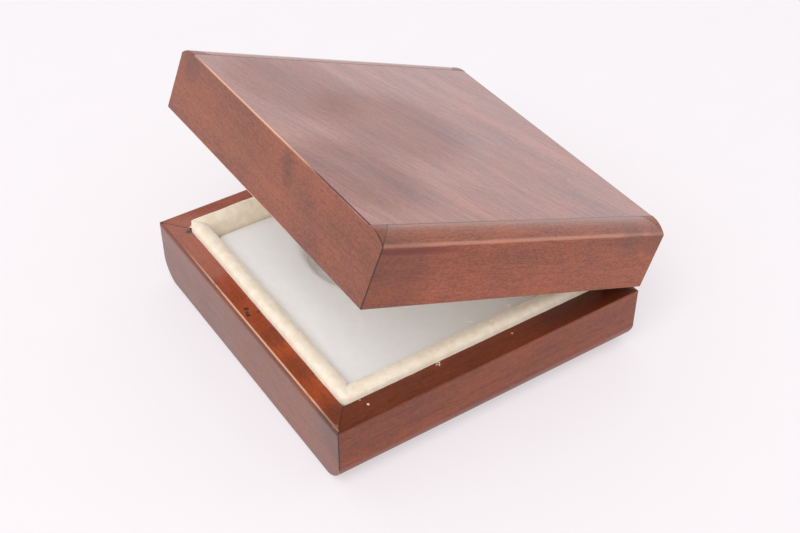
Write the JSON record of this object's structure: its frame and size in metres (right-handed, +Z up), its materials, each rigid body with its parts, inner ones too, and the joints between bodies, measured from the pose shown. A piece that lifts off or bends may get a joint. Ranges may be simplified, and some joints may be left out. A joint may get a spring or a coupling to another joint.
{
  "type": "pocket watch display box",
  "caption": "Small hinged wooden display box with a padded tray, a round recess for one pocket watch, a velvet collar and a lid that stands open.",
  "frame": {"origin": "centre of the base's underside, on the table", "axes": "+Z up, -Y towards the front, +X to the right seen from the front; the lid is hinged at the back (+Y)"},
  "size_m": [0.11, 0.1145, 0.0826],
  "materials": {
    "lid_wood": "stained and lacquered hardwood, semi-gloss",
    "lid_veneer": "stained veneer under hazed lacquer, semi-gloss",
    "base_wood": "stained and lacquered hardwood, semi-gloss",
    "board": "plain thin board",
    "felt": "short pressed felt",
    "card": "grey-brown strip board",
    "collar_velvet": "short cream pile, slightly pilled",
    "pad_cloth": "cool white brushed cloth",
    "foam": "soft open foam",
    "lining_cloth": "cream lining cloth",
    "lining_satin": "cream satin",
    "brass": "aged brass"
  },
  "bodies": {
    "base": {"base_front_rail": "base_wood", "base_back_rail": "base_wood", "base_left_rail": "base_wood", "base_right_rail": "base_wood", "base_bottom_panel": "board", "base_underside_felt": "felt", "collar_front_core": "card", "collar_back_core": "card", "collar_left_core": "card", "collar_right_core": "card", "collar_front_cover": "collar_velvet", "collar_back_cover": "collar_velvet", "collar_left_cover": "collar_velvet", "collar_right_cover": "collar_velvet", "pad_board": "board", "pad_foam": "foam", "pad_cover": "pad_cloth", "hinge_left_lower_leaf": "brass", "hinge_right_lower_leaf": "brass", "hinge_left_pin": "brass", "hinge_right_pin": "brass", "hinge_lower_screws": "brass"},
    "lid": {"lid_front_rail": "lid_wood", "lid_back_rail": "lid_wood", "lid_left_rail": "lid_wood", "lid_right_rail": "lid_wood", "lid_top_panel": "board", "lid_top_veneer": "lid_veneer", "lid_lining_front": "lining_cloth", "lid_lining_back": "lining_cloth", "lid_lining_left": "lining_cloth", "lid_lining_right": "lining_cloth", "lid_pad_board": "board", "lid_pad_foam": "foam", "lid_pad_cover": "lining_satin", "hinge_left_upper_leaf": "brass", "hinge_right_upper_leaf": "brass", "hinge_upper_screws": "brass"}
  },
  "joints": [
    {"name": "lid_hinge", "type": "hinge", "parent": "base", "child": "lid", "pos_m": [0, 0.0555, 0.02225], "axis": [-1, 0, 0], "range_deg": [-22, 75]}
  ]
}
